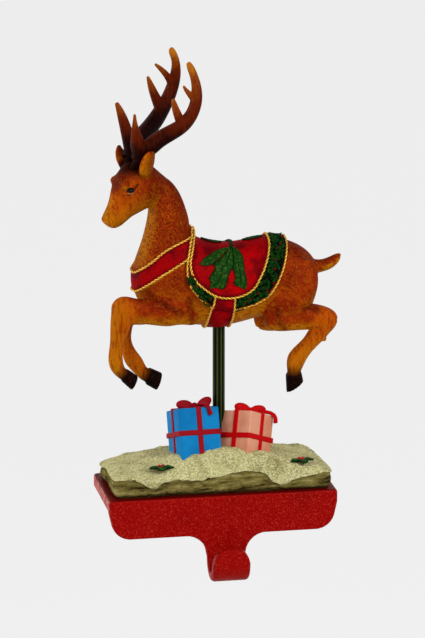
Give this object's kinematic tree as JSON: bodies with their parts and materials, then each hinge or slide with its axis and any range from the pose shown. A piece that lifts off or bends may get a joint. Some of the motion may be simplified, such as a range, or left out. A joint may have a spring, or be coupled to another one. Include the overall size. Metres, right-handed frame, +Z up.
{
  "type": "mantel stocking holder",
  "caption": "Weighted mantel bracket with a stocking hook, carrying a carousel-style reindeer on a pole over a snowy rock base with wrapped presents.",
  "frame": {"origin": "middle of the bracket's seat on the mantel, on the underside of the rubber pad", "axes": "+Z up, -Y towards the room and the hook, -X the way the reindeer faces"},
  "size_m": [0.1402, 0.0783, 0.2972],
  "materials": {
    "bracket": "deep red enamel over cast iron, finely pebbled, gloss",
    "pads": "soft non-slip sheet",
    "screws": "plain zinc-plated",
    "snow_base": "painted cast resin, gritty snow over smooth rock",
    "pole": "dark gloss paint",
    "reindeer": "hand-painted cast resin, satin",
    "antlers": "hand-painted cast resin, satin, amber tips"
  },
  "bodies": {
    "root": {"mantel_bracket": "bracket", "mantel_pad": "pads", "apron_pad": "pads", "base_screws": "screws", "snow_base": "snow_base", "pole": "pole", "reindeer": "reindeer", "near_antler": "antlers", "far_antler": "antlers"}
  },
  "joints": []
}
